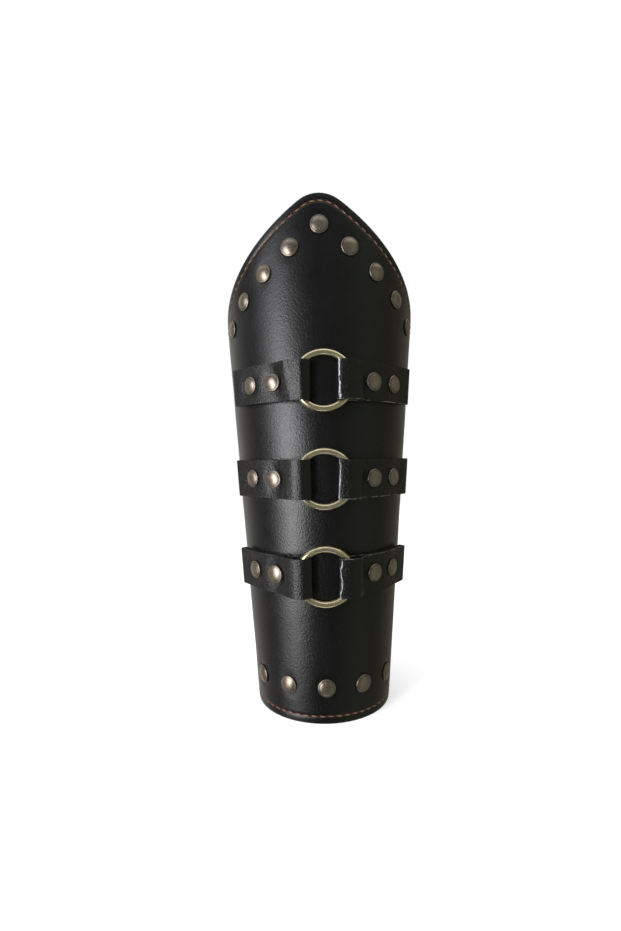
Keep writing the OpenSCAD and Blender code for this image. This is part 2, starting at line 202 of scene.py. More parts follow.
def half_outline():
    """Azimuth and height along the right half of the leather's edge, from the rim's middle to the tip."""
    turns = np.linspace(0, math.pi / 2, OUTLINE_TURN_POINTS)
    rim = np.arange(0, edge_arc(0) - CUFF_ROUND, OUTLINE_STEP)
    rim_part = np.stack((rim / cone_r(0), 0 * rim), -1)
    cuff_z = CUFF_ROUND * (1 - np.cos(turns))
    cuff_in = CUFF_ROUND * (1 - np.sin(turns))
    cuff_part = np.stack((SPREAD - cuff_in / cone_r(cuff_z), cuff_z), -1)
    back = np.arange(CUFF_ROUND + OUTLINE_STEP, HEEL_MID, OUTLINE_STEP)
    back_part = np.stack((SPREAD + 0 * back, back), -1)
    heel_in = HEEL_FROM * (1 - np.cos(turns))
    heel_z = HEEL_MID + np.sqrt(HEEL_ROUND**2 - (HEEL_ROUND - heel_in) ** 2)
    heel_part = np.stack((SPREAD - heel_in / cone_r(heel_z), heel_z), -1)
    side_start = SPREAD * cone_r(heel_z[-1]) - HEEL_FROM - OUTLINE_STEP
    side = np.arange(side_start, SIDE_FROM, -OUTLINE_STEP)
    side_z = PEAK - SLOPE * side
    side_part = np.stack((side / cone_r(side_z), side_z), -1)
    tip = SIDE_FROM * np.cos(turns)
    tip_z = TIP_H - TIP_ROUND + np.sqrt(TIP_ROUND**2 - tip**2)
    tip_part = np.stack((tip / cone_r(tip_z), tip_z), -1)
    return np.concatenate((rim_part, cuff_part, back_part, heel_part, side_part, tip_part))


def inset_line(depth):
    """The closed line on the flat pattern that runs depth inside the leather's edge."""
    half = half_outline()
    mirrored = half[::-1] * (-1, 1)
    azimuth, z = np.concatenate((half, mirrored[1:-1])).T
    edge = flattened(azimuth + crown_lean(z) / cone_r(z), z)
    along = np.roll(edge, -1, 0) - np.roll(edge, 1, 0)
    along /= np.linalg.norm(along, axis=1)[:, None]
    inward = np.stack((-along[:, 1], along[:, 0]), -1)
    return edge + depth * inward


def tree_of(points):
    """A search tree of places on the flat pattern."""
    tree = kdtree.KDTree(len(points))
    for i, p in enumerate(points):
        tree.insert((p[0], p[1], 0), i)
    tree.balance()
    return tree


EDGE_TREE = tree_of(inset_line(0))
STITCH_TREE = tree_of(inset_line(STITCH_IN))


def distance_to(tree, flat):
    """How far each point of the flat pattern is from a line."""
    return np.array([tree.find((x, y, 0))[2] for x, y in flat])


def bed(r, z):
    """How far a disc of radius r sinks to bed all round on the leather at height z."""
    return cone_r(z) - math.sqrt(cone_r(z) ** 2 - r * r) + CAP_CLEAR


# Places of the rivets and eyelets
CROWN_ROW = PEAK - CROWN_INSET / math.cos(CROWN_SLOPE)
CROWN_STEP = CROWN_PITCH * math.cos(CROWN_SLOPE)
CROWN_Z = [CROWN_ROW - SLOPE * abs(i) * CROWN_STEP for i in range(-CROWN_SIDE, CROWN_SIDE + 1)]
CROWN_AT = [((i - CROWN_SIDE) * CROWN_STEP + crown_lean(z), z) for i, z in enumerate(CROWN_Z)]
WRIST_AT = [(i * WRIST_PITCH, WRIST_INSET) for i in range(-WRIST_SIDE, WRIST_SIDE + 1)]
LACE_Z = [LACE_LOW_Z + i * LACE_PITCH for i in range(LACE_COUNT)]
EYELETS_AT = [(side * (edge_arc(z) - LACE_INSET), z) for side in (-1, 1) for z in LACE_Z]


def tab_rise(z, s):
    """How much a straight tab has climbed at arc s, as it goes round the cone."""
    return cone_r(z) * (1 - math.cos(s / cone_r(z))) * TAPER


def tab_rivets_at(z):
    """Places of the four rivets of the strap at height z."""
    return [(s, z + tab_rise(z, s)) for r in TAB_RIVETS for s in (-r, r)]


# Modelling helpers
def eased(share):
    """A share from 0 to 1 with soft ends, held there outside them."""
    share = np.clip(share, 0, 1)
    return share**2 * (3 - 2 * share)


def furrow(distance, width):
    """1 on a line, falling off softly to both sides."""
    return np.exp(-((distance / width) ** 2))


def deselect():
    bpy.ops.object.select_all(action="DESELECT")


def activate(piece):
    deselect()
    piece.select_set(True)
    bpy.context.view_layer.objects.active = piece


def modify(piece, kind, **settings):
    """Adds one modifier to a piece and applies it."""
    activate(piece)
    modifier = piece.modifiers.new(kind.lower(), kind)
    for key, value in settings.items():
        setattr(modifier, key, value)
    bpy.ops.object.modifier_apply(modifier=modifier.name)


def edit(piece, *operations):
    """Runs operators on the whole of a piece in edit mode."""
    activate(piece)
    bpy.ops.object.mode_set(mode="EDIT")
    bpy.ops.mesh.select_all(action="SELECT")
    for operation, settings in operations:
        operation(**settings)
    bpy.ops.object.mode_set(mode="OBJECT")


def smooth(piece, angle=35):
    """Smooth shading, with an edge kept sharp where it turns by more than angle."""
    activate(piece)
    bpy.ops.object.shade_smooth_by_angle(angle=math.radians(angle))


def thicken(piece, thickness, offset, materials):
    """Gives a sheet its thickness, with its second material on the cut edge."""
    for material in materials:
        piece.data.materials.append(material)
    modify(piece, "SOLIDIFY", thickness=thickness * MM, offset=offset, material_offset_rim=len(materials) - 1)


def soften(piece, width, segments, angle):
    """Rounds the edges of a leather piece that turn by more than angle."""
    limit = {"limit_method": "ANGLE", "angle_limit": math.radians(angle)}
    modify(piece, "BEVEL", width=width * MM, segments=segments, **limit)


def renamed(piece, name):
    piece.name = name
    piece.data.name = name
    return piece


def grid(name, across, along):
    """A flat grid of faces, with each vertex's column and row."""
    deselect()
    bpy.ops.mesh.primitive_grid_add(x_subdivisions=across, y_subdivisions=along, size=1)
    piece = renamed(bpy.context.object, name)
    co = np.zeros(len(piece.data.vertices) * 3)
    piece.data.vertices.foreach_get("co", co)
    co = co.reshape(-1, 3) + 0.5
    column = np.rint(co[:, 0] * across).astype(int)
    row = np.rint(co[:, 1] * along).astype(int)
    return piece, column, row


def reshape(piece, points):
    """Moves each vertex of a piece to its point."""
    piece.data.vertices.foreach_set("co", points.astype(np.float32).ravel())
    piece.data.update()


def note(piece, name, values):
    """Keeps one number for each vertex, for the piece's material to read."""
    layer = piece.data.attributes.new(name, "FLOAT", "POINT")
    layer.data.foreach_set("value", np.asarray(values, np.float32))


def lathe(name, profile, steps):
    """A turned piece: the profile, as (radius, height) in millimetres, spun about Z."""
    mesh = bpy.data.meshes.new(name)
    points = [(r * MM, 0, h * MM) for r, h in profile]
    mesh.from_pydata(points, [(i, i + 1) for i in range(len(points) - 1)], [])
    piece = bpy.data.objects.new(name, mesh)
    bpy.context.scene.collection.objects.link(piece)
    spin = {"steps": steps, "angle": 2 * math.pi, "center": (0, 0, 0), "axis": (0, 0, 1)}
    edit(
        piece,
        (bpy.ops.mesh.spin, spin),
        (bpy.ops.mesh.select_all, {"action": "SELECT"}),
        (bpy.ops.mesh.remove_doubles, {"threshold": 1e-6}),
        (bpy.ops.mesh.normals_make_consistent, {"inside": False}),
    )
    return piece


def copies(template, frames, name):
    """Copies of one modelled piece at these frames, joined into one object. The template goes."""
    made = []
    for place in frames:
        copy = bpy.data.objects.new(name, template.data.copy())
        copy.data.transform(place)
        bpy.context.scene.collection.objects.link(copy)
        made.append(copy)
    deselect()
    for copy in made:
        copy.select_set(True)
    bpy.context.view_layer.objects.active = made[0]
    bpy.ops.object.join()
    bpy.data.objects.remove(template)
    return renamed(made[0], name)


# Shell: how far inside the edge the lines of each sheet's grid run, and its columns and rows
OUTER_EDGE_STEPS = (0, 0.2, 0.5, 0.9, 1.4, 2, 2.6, 3, 3.4, 3.8, 4.2, 4.6, 5, 5.6, 6.4, 7.4, 8.6, 10)
OUTER_COLUMNS, OUTER_ROWS = 76, 128
LINING_EDGE_STEPS = (0, 0.4, 1.2, 2.4, 3.8, 5.6, 8)
LINING_COLUMNS, LINING_ROWS = 44, 70

# Relief of the outer face: beds round the rivets, the seam's groove, the edge and soft waves
BED_REACH = 7.2
BED_FLAT = 0.4
BED_DEPTH = 0.06
BED_LEAST = 0.12
GROOVE_DEPTH, GROOVE_W = 0.28, 0.75
SEAM_SHADE_FULL, SEAM_SHADE_W = 0.3, 0.5
ROLLED_DEPTH, ROLLED_W = 0.10, 1.2
WAVE_DEPTH, WAVE_FROM = 0.16, 12
LONG_WAVE, SHORT_WAVE = 0.035, 0.09


def wrapped_sheet(name, side_columns, middle_rows, edge_steps):
    """A sheet cut to the bracer's outline, as a grid whose lines run along its edges.

    Returns the piece with its vertices' azimuths and heights.
    """
    last = edge_steps[-1]
    share = np.concatenate((np.arange(side_columns) / side_columns, np.ones(len(edge_steps))))
    inset = np.concatenate((np.full(side_columns, last), np.array(edge_steps[::-1], float)))
    half = len(share)
    across = 2 * half - 2
    along = 2 * len(edge_steps) - 2 + middle_rows
    piece, column, row = grid(name, across, along)
    side = np.sign(column - (half - 1))
    t = share[np.abs(column - (half - 1))]
    e = inset[np.abs(column - (half - 1))]

    def arc(z):
        return np.where(t < 1, t * (edge_arc(z) - last), edge_arc(z) - e)

    # A height depends on its arc and the arc on the height, so both settle over some rounds
    low, high = np.zeros(len(t)), np.full(len(t), TIP_H)
    for _ in range(12):
        low = rim_height(edge_arc(low) - arc(low))
        high = crown_height(arc(high), edge_arc(high) - arc(high))
    steps = np.array(edge_steps)
    stretch = 1 / math.cos(CROWN_SLOPE)
    count = len(edge_steps)
    middle = (row - count + 1) / middle_rows
    middle_low, middle_high = low + last, high - last * stretch
    z = np.where(
        row < count,
        low + steps[np.minimum(row, count - 1)],
        np.where(
            row > along - count,
            high - stretch * steps[np.clip(along - row, 0, count - 1)],
            middle_low + (middle_high - middle_low) * middle,
        ),
    )
    return piece, (side * arc(z) + crown_lean(z)) / cone_r(z), z


def pressed(azimuth, z, flat):
    """How far the outer face stands off the plain cone: rivet beds, stitch groove, soft waves.

    Returns also the distance to the edge and where the seam runs.
    """
    out = np.zeros(len(z))
    for s, height in CROWN_AT + WRIST_AT:
        ds = (azimuth - s / cone_r(height)) * cone_r(height)
        far = np.hypot(ds, z - height)
        depth = bed(CAP_R, height) - ds**2 / (2 * cone_r(height)) + BED_DEPTH
        out -= np.maximum(depth, BED_LEAST) * eased((BED_REACH - far) / (BED_REACH - CAP_R - BED_FLAT))
    near = distance_to(STITCH_TREE, flat)
    out -= GROOVE_DEPTH * furrow(near, GROOVE_W)
    rim = distance_to(EDGE_TREE, flat)
    out -= ROLLED_DEPTH * furrow(rim, ROLLED_W)
    long_waves = np.array([noise.noise(Vector((x, y, 0)) * LONG_WAVE) for x, y in flat])
    short_waves = np.array([noise.noise(Vector((x, y, 9)) * SHORT_WAVE) for x, y in flat])
    out += WAVE_DEPTH * (long_waves + 0.4 * short_waves) * np.clip(rim / WAVE_FROM, 0, 1)
    return out, rim, np.clip(1 - (near - SEAM_SHADE_FULL) / SEAM_SHADE_W, 0, 1)


def punch_eyelets(piece):
    """Cuts the lacing holes right through a leather piece."""
    deselect()
    bpy.ops.mesh.primitive_cylinder_add(vertices=40, radius=EYELET_HOLE_R * MM, depth=4 * WALL_T * MM)
    punch = copies(bpy.context.object, [seat(s, z, -WALL_T / 2) for s, z in EYELETS_AT], "punch")
    modify(piece, "BOOLEAN", operation="DIFFERENCE", object=punch, solver="EXACT")
    bpy.data.objects.remove(punch)


def outer_leather(materials):
    """The outer leather, with its relief, cut edges and lacing holes."""
    piece, azimuth, z = wrapped_sheet("shell_leather", OUTER_COLUMNS, OUTER_ROWS, OUTER_EDGE_STEPS)
    out, rim, seam = pressed(azimuth, z, flattened(azimuth, z))
    reshape(piece, wrapped(azimuth, z, out))
    note(piece, "rim", rim)
    note(piece, "seam", seam)
    thicken(piece, OUTER_T - LAYER_GAP, -1, materials)
    soften(piece, 0.5, 3, 55)
    punch_eyelets(piece)
    smooth(piece)
    return piece


def lining_leather(materials):
    """The lining, flat against the outer leather's inside."""
    piece, azimuth, z = wrapped_sheet("lining_leather", LINING_COLUMNS, LINING_ROWS, LINING_EDGE_STEPS)
    reshape(piece, wrapped(azimuth, z, -OUTER_T - LAYER_GAP / 2))
    thicken(piece, LINING_T - LAYER_GAP, -1, materials)
    soften(piece, 0.3, 2, 55)
    punch_eyelets(piece)
    smooth(piece)
    return piece


# Stitching
def stitch_places(out):
    """A frame for each stitch: X along the seam, Z square to the leather, out off its outer face."""
    line = inset_line(STITCH_IN)
    line = np.concatenate((line, line[:1]))
    run = np.concatenate(([0], np.cumsum(np.linalg.norm(np.diff(line, axis=0), axis=1))))
    count = round(run[-1] / STITCH_PITCH)
    places = []
    for i in range(count):
        at = (i + 0.5) * run[-1] / count
        ends = [at - STITCH_LENGTH / 2, at + STITCH_LENGTH / 2]
        flat = np.stack([np.interp(ends, run, line[:, k]) for k in (0, 1)], -1)
        first, last = wrapped(*rolled(flat), out)
        azimuth, z = rolled(flat.mean(0))
        up = seat(azimuth * cone_r(z), z).to_3x3().col[2]
        x = Vector(last - first).normalized()
        turn = Matrix((x, up.cross(x).normalized(), up)).transposed().to_4x4()
        places.append(Matrix.Translation((first + last) / 2) @ turn)
    return places


def stitch():
    """One stitch: a turned grain of thread that dives into the leather at both ends."""
    deselect()
    bpy.ops.mesh.primitive_uv_sphere_add(segments=8, ring_count=7, radius=1, rotation=(0, math.pi / 2, 0))
    piece = bpy.context.object
    half_length = STITCH_LENGTH / 2 * MM
    piece.scale = (THREAD_R * THREAD_FLAT * MM, THREAD_R * MM, half_length)
    bpy.ops.object.transform_apply(location=False, rotation=True, scale=True)
    points = np.array([v.co for v in piece.data.vertices])
    along = np.minimum(np.abs(points[:, 0]) / half_length, 0.999)
    points[:, 1:] *= np.sqrt((1 - along**5) / (1 - along**2))[:, None]
    points[:, 2] -= STITCH_DIVE * MM * along**4
    reshape(piece, points)
    note(piece, "crest", 1 - along)
    turn = {"value": STITCH_TURN, "orient_axis": "Z", "center_override": (0, 0, 0)}
    edit(piece, (bpy.ops.transform.rotate, turn))
    activate(piece)
    bpy.ops.object.shade_smooth()
    return piece


# Tabs
STRIP_POINTS = 120
# Each fold along the middle of its leather, as (distance from the strap's middle, height off the
# shell, rounding): its tip, its ridge, the end of its front and its crease. Then its landing on the
# under layer, as (distance, rounding).
LEFT_SLOPE = (15.2, 5.3, 8.0), (18.7, 2.3, 5.0), (24.5, 24.0)
RIGHT_FRONT = (7.5, 4.9, 0.5), (8.0, 5.55, 0.5), (13.0, 5.55, 4.0)
FOLDS = {
    "upper_left": ((7.5, 4.3, 0.5), (10.8, 5.75, 1.0), (11.8, 5.7, 2.0), (18.2, 3.3, 2.0), (24.0, 18.0)),
    "middle_left": ((7.5, 4.1, 0.5), (11.5, 5.75, 2.0), *LEFT_SLOPE),
    "lower_left": ((7.5, 4.1, 0.5), (11.3, 5.75, 2.0), *LEFT_SLOPE),
    "upper_right": (*RIGHT_FRONT, (17.6, 3.3, 2.0), (20.0, 3.0)),
    "middle_right": (*RIGHT_FRONT, (17.3, 3.5, 2.5), (20.0, 4.0)),
    "lower_right": (*RIGHT_FRONT, (17.3, 3.5, 2.5), (20.0, 4.0)),
}
# The under layer leaves the shell at this arc, and dips as it turns up into the fold
UNDER_LEAVES = 12.9
UNDER_DIP = 0.5
UNDER_ROUND = 1.8
# The top layer lies down fully this far past its landing
LANDING_RUN = 5.5
# Which long edge of a tab gets a painted highlight: -1 the lower one, 1 the upper one
HIGHLIGHTED_EDGES = {"upper_right": -1, "middle_right": -1, "lower_right": 1}


ROUND_POINTS = 12
LYING_POINTS = 40
# Places of the strip's points near its two cut ends, and where the even ones start
END_STEPS = np.array([0, 0.08, 0.25, 0.5, 0.8, 1.2, 1.7])
EVEN_FROM = 2.4


def rounded(corners, radii):
    """A line through corners, each rounded to its radius."""
    corners = [np.array(c, float) for c in corners]
    line = [corners[0][None]]
    for before, corner, after, radius in zip(corners, corners[1:], corners[2:], radii):
        into = (corner - before) / np.linalg.norm(corner - before)
        away = (after - corner) / np.linalg.norm(after - corner)
        half_turn = math.acos(np.clip(into @ away, -1, 1)) / 2
        reach = radius * math.tan(half_turn)
        middle = (away - into) / np.linalg.norm(away - into)
        centre = corner + middle * radius / math.cos(half_turn)
        start, end = corner - into * reach - centre, corner + away * reach - centre
        share = np.linspace(0, 1, ROUND_POINTS)[:, None]
        turned = start * (1 - share) + end * share
        line.append(centre + radius * turned / np.linalg.norm(turned, axis=1)[:, None])
    return np.concatenate(line + [corners[-1][None]])


def even(points, count):
    """The same line at count places, closer together at its two ends, and how far along each is."""
    run = np.concatenate(([0], np.cumsum(np.linalg.norm(np.diff(points, axis=0), axis=1))))
    middle = np.linspace(EVEN_FROM, run[-1] - EVEN_FROM, count - 2 * len(END_STEPS))
    at = np.concatenate((END_STEPS, middle, run[-1] - END_STEPS[::-1]))
    return np.stack([np.interp(at, run, points[:, k]) for k in (0, 1)], -1), at


def lying(radius, start, end):
    """Part of a layer that lies round the leather, from one arc to another."""
    turns = np.linspace(start, end, LYING_POINTS)
    return np.stack((radius * np.sin(turns), -radius * np.cos(turns)), -1)


def strip_line(R, fold, lean):
    """The middle of a tab's strip, seen along its edge: under layer, fold round the wire, free end.

    lean moves the crease away from the fold's tip.
    """
    under_r, top_r = R + TAB_T / 2 + LAYER_GAP, R + 1.5 * TAB_T
    end = (TAB_RIVETS[1] + TAB_FLAP) / R
    turn = end - TAB_OPEN
    flap = (TAB_END - TAB_FLAP) * np.array((math.cos(turn), math.sin(turn)))
    under = lying(under_r, end, UNDER_LEAVES / under_r)
    tip, ridge, front, crease, landing = fold
    landing_a = (landing[0] + lean) / R
    top = lying(top_r, landing_a + LANDING_RUN / R, end)
    corners = [
        under[-1],
        (tip[0], -under_r + UNDER_DIP),
        *((x, -R - h) for x, h, _ in (tip, ridge, front)),
        (crease[0] + lean, -R - crease[1]),
        (top_r * math.sin(landing_a), -top_r * math.cos(landing_a)),
        top[0],
    ]
    folded = rounded(corners, (UNDER_ROUND, *(place[-1] for place in fold)))
    return np.concatenate(([under[0] + flap], under, folded, top[1:], [top[-1] + flap]))


# How far inside its long edges the strip's first lines run, and how many run between them
TAB_EDGE_STEPS = (0, 0.12, 0.35, 0.7, 1.2)
TAB_INNER_FROM = 1.8
TAB_INNER_LINES = 15

# Dimples round the tabs' rivets, and the strip's ripple
DIMPLE_REACH = 7.4
DIMPLE_SLOPE = 2.4
DIMPLE_DEPTH = 0.4
DIMPLE_LEAST = 0.1
RIPPLE_DEPTH, RIPPLE_FROM = 0.07, 4
RIPPLE_ROUND, RIPPLE_UP = 40, 0.4


def clear_of_wire(points, z):
    """The strip's points, pushed off the ring's wire so that the wire lies free in its fold."""
    place = seat(0, z, RING_LIFT)
    normal = np.array(place.to_3x3().col[2])
    away = points - np.array(place.translation)
    level = away - (away @ normal)[:, None] * normal
    wire = level * (RING_R * MM / np.linalg.norm(level, axis=1))[:, None]
    gap = np.linalg.norm(away - wire, axis=1)
    needed = (WIRE_R + WIRE_FIT + TAB_T / 2) * MM
    return points + (away - wire) * (np.maximum(needed / gap, 1) - 1)[:, None]


def tab(name, z, side, fold, lean, scuff, rubbed, materials):
    """A leather strip folded round the ring's wire, with both layers lying on the shell.

    lean is how far the crease beside the fold leans over, from the strip's middle to its edge.
    The sixth argument is how strong the painted highlight along the ridge of the fold is, and the seventh
    which long edge gets a painted highlight.
    """
    R = cone_r(z)
    inner = np.linspace(-1, 1, TAB_INNER_LINES) * (TAB_W / 2 - TAB_INNER_FROM)
    steps = TAB_W / 2 - np.array(TAB_EDGE_STEPS)
    across = np.concatenate((-steps, inner, steps[::-1]))
    piece, column, row = grid(name, STRIP_POINTS - 1, len(across) - 1)
    column = column if side > 0 else STRIP_POINTS - 1 - column
    low, at = even(strip_line(R, fold, -lean), STRIP_POINTS)
    high, _ = even(strip_line(R, fold, lean), STRIP_POINTS)
    ridge = at[np.argmin(np.linalg.norm(low - (fold[1][0], -R - fold[1][1]), axis=1))]
    share = (across[row] / TAB_W + 0.5)[:, None]
    x, y = (low[column] * (1 - share) + high[column] * share).T
    end = np.minimum(at, at[-1] - at)[column]
    cut = TAB_ROUND - np.sqrt(np.maximum(TAB_ROUND**2 - np.maximum(TAB_ROUND - end, 0) ** 2, 0))
    w = across[row] * (1 - cut / (TAB_W / 2))
    azimuth = np.arctan2(x, -y)
    off = np.hypot(x, y) - R
    height = z + R * (1 - np.cos(azimuth)) * math.sin(LEAN) + w * math.cos(LEAN)
    top = at[column] > at[-1] / 2
    for s in TAB_RIVETS:
        ds = azimuth * R - s
        ease = eased((DIMPLE_REACH - np.hypot(ds, w)) / DIMPLE_SLOPE)
        depth = DIMPLE_DEPTH - ds**2 / (2 * (R + 2 * TAB_T))
        bottom = 1.5 * TAB_T - depth.clip(DIMPLE_LEAST)
        off = np.where(top, off * (1 - ease) + bottom * ease, off)
    places = zip(azimuth * RIPPLE_ROUND * side, w * RIPPLE_UP)
    ripple = np.array([noise.noise(Vector((a, b, z))) for a, b in places])
    off += RIPPLE_DEPTH * ripple * np.clip(end / RIPPLE_FROM, 0, 1)
    reshape(piece, clear_of_wire(wrapped(side * azimuth, height, off), z))
    note(piece, "rim", np.minimum(end, TAB_W / 2 - np.abs(w)))
    note(piece, "from_ridge", at[column] - ridge)
    note(piece, "scuff", np.full(len(w), scuff))
    note(piece, "rubbed", rubbed * w > 0)
    thicken(piece, TAB_T - TAB_THINNED, 0, materials)
    soften(piece, 0.25, 2, 50)
    smooth(piece)
    return piece


# Rivets: half the outline of a cap, from the top of its dome round its rim to its middle below
CAP_PROFILE = (
    (0, 1.88), (0.8, 1.855), (1.6, 1.76), (2.3, 1.61), (2.9, 1.43), (3.35, 1.27), (3.7, 1.12),
    (3.9, 1.035), (4.0, 1.0), (4.08, 0.985), (4.18, 0.98), (4.32, 0.94), (4.48, 0.84), (4.62, 0.69),
    (4.71, 0.52), (4.75, 0.33), (4.75, 0.1), (4.7, 0), (4.3, 0), (2.5, 0.02), (0, 0.02),
)
# Where a cap is painted dark: patina and painted shade in the groove round its dome, painted shade at its
# foot
GROOVE_R, GROOVE_SPREAD, GROOVE_DARK = 3.95, 0.25, 0.65
FOOT_H, FOOT_SPREAD = 0.78, 0.3


def cap(name):
    """A rivet's cap: a low dome inside a rolled rim."""
    piece = lathe(name, CAP_PROFILE, 56)
    smooth(piece, 50)
    r = np.array([math.hypot(v.co.x, v.co.y) / MM for v in piece.data.vertices])
    h = np.array([v.co.z / MM for v in piece.data.vertices])
    # Patina and painted shade in the groove, painted shade on the rim's foot
    cap_darkening = GROOVE_DARK * furrow(r - GROOVE_R, GROOVE_SPREAD) + np.clip((FOOT_H - h) / FOOT_SPREAD, 0, 1)
    note(piece, "recess", np.clip(cap_darkening, 0, 1))
    return piece


def caps(name, places, lift):
    """All caps of one row. lift gives each seat's height off the leather."""
    return copies(cap(name), [seat(s, z, lift(z)) for s, z in places], name)


# Ring
def ring(name, z):
    """One plated wire ring in its tabs' folds."""
    deselect()
    centre = seat(0, z, RING_LIFT).translation
    bpy.ops.mesh.primitive_torus_add(
        major_segments=168,
        minor_segments=36,
        major_radius=RING_R * MM,
        minor_radius=WIRE_R * MM,
        rotation=(math.pi / 2 + LEAN, 0, 0),
        location=centre,
    )
    piece = renamed(bpy.context.object, name)
    bpy.ops.object.transform_apply()
    bpy.ops.object.shade_smooth()
    return piece


# Shader tools
class Wire:
    """One output of a shader node. Arithmetic on it adds Math nodes."""

    def __init__(self, tree, socket):
        self.tree = tree
        self.socket = socket

    def maths(self, operation, first, second):
        return self.node("ShaderNodeMath", {"operation": operation}, {0: first, 1: second})

    def __add__(self, other):
        return self.maths("ADD", self, other)

    def __sub__(self, other):
        return self.maths("SUBTRACT", self, other)

    def __rsub__(self, other):
        return self.maths("SUBTRACT", other, self)

    def __mul__(self, other):
        return self.maths("MULTIPLY", self, other)

    def __pow__(self, other):
        return self.maths("POWER", self, other)

    def node(self, kind, settings=None, inputs=None, output=0):
        """Any node: its settings are set first, then its sockets get a value or a link."""
        made = self.tree.nodes.new(kind)
        for key, value in (settings or {}).items():
            if key == "stops":
                set_stops(made.color_ramp, value)
            else:
                setattr(made, key, value)
        for key, value in (inputs or {}).items():
            if isinstance(value, Wire):
                self.tree.links.new(value.socket, made.inputs[key])
            else:
                made.inputs[key].default_value = value
        return Wire(self.tree, made.outputs[output])

    def within(self, low, high, to_low=0.0, to_high=1.0):
        """This value mapped from low..high to to_low..to_high, and held there."""
        values = {0: self, 1: low, 2: high, 3: to_low, 4: to_high}
        return self.node("ShaderNodeMapRange", {"clamp": True}, values)


def set_stops(ramp, stops):
    """Gives a new colour ramp, which has two stops, these (place, colour) ones."""
    while len(ramp.elements) < len(stops):
        ramp.elements.new(1)
    for element, (place, colour) in zip(ramp.elements, stops):
        element.position = place
        element.color = (*colour, 1)


def socket_name(key):
    """The name of a shader's socket, from its name as a Python argument."""
    return key.replace("_", " ").title().replace("Ior", "IOR")


# A Mix node's factor and two colours, and its mixed colour: they come after those for numbers and vectors
MIX_SOCKETS = (0, 6, 7)
MIX_RESULT = 2


class Finish:
    """A material with one Principled shader, built up from wires."""

    def __init__(self, name, **constants):
        self.material = bpy.data.materials.new(name)
        self.material.use_nodes = True
        self.tree = self.material.node_tree
        self.shader = self.tree.nodes["Principled BSDF"]
        self.start = Wire(self.tree, None)
        for key, value in constants.items():
            self.shader.inputs[socket_name(key)].default_value = value
        self.place = self.start.node("ShaderNodeTexCoord", output="Object")

    def noise(self, scale, detail=3, roughness=0.5, place=None):
        inputs = {"Vector": place or self.place, "Scale": scale, "Detail": detail, "Roughness": roughness}
        return self.start.node("ShaderNodeTexNoise", {}, inputs, "Fac")

    def pebbles(self, scale, place):
        """Rounded cells, as the distance from each one's middle."""
        inputs = {"Vector": place, "Scale": scale}
        return self.start.node("ShaderNodeTexVoronoi", {"feature": "SMOOTH_F1"}, inputs, "Distance")

    def bent(self, amount, scale):
        """Object coordinates pushed about by noise, so that a pattern on them isn't regular."""
        push = self.start.node("ShaderNodeTexNoise", {}, {"Vector": self.place, "Scale": scale}, "Color")
        centred = self.vectors("SUBTRACT", {0: push, 1: (0.5, 0.5, 0.5)})
        scaled = self.vectors("SCALE", {0: centred, "Scale": amount})
        return self.vectors("ADD", {0: self.place, 1: scaled})

    def vectors(self, operation, inputs):
        return self.start.node("ShaderNodeVectorMath", {"operation": operation}, inputs)

    def attribute(self, name):
        return self.start.node("ShaderNodeAttribute", {"attribute_name": name}, output="Fac")

    def mix(self, factor, first, second):
        """A mix of two colours, each one a wire or three numbers."""
        colours = [c if isinstance(c, Wire) else (*c, 1) for c in (first, second)]
        inputs = dict(zip(MIX_SOCKETS, (factor, *colours)))
        return self.start.node("ShaderNodeMix", {"data_type": "RGBA"}, inputs, MIX_RESULT)

    def bump(self, height, distance):
        inputs = {"Height": height, "Distance": distance, "Strength": 1.0}
        return self.start.node("ShaderNodeBump", {}, inputs)

    def feed(self, **wires):
        for key, wire in wires.items():
            self.tree.links.new(wire.socket, self.shader.inputs[socket_name(key)])


# Finishes
PER_MM = 1 / MM
STAINED_SEAM = (0.035, 0.011, 0.006)
# Grey painted highlight for one long cut edge of some tabs
EDGE_HIGHLIGHT = (0.20, 0.19, 0.17)
# Pale blue-grey painted highlight along the ridge of the right folds
RIDGE_HIGHLIGHT = (0.55, 0.60, 0.64)


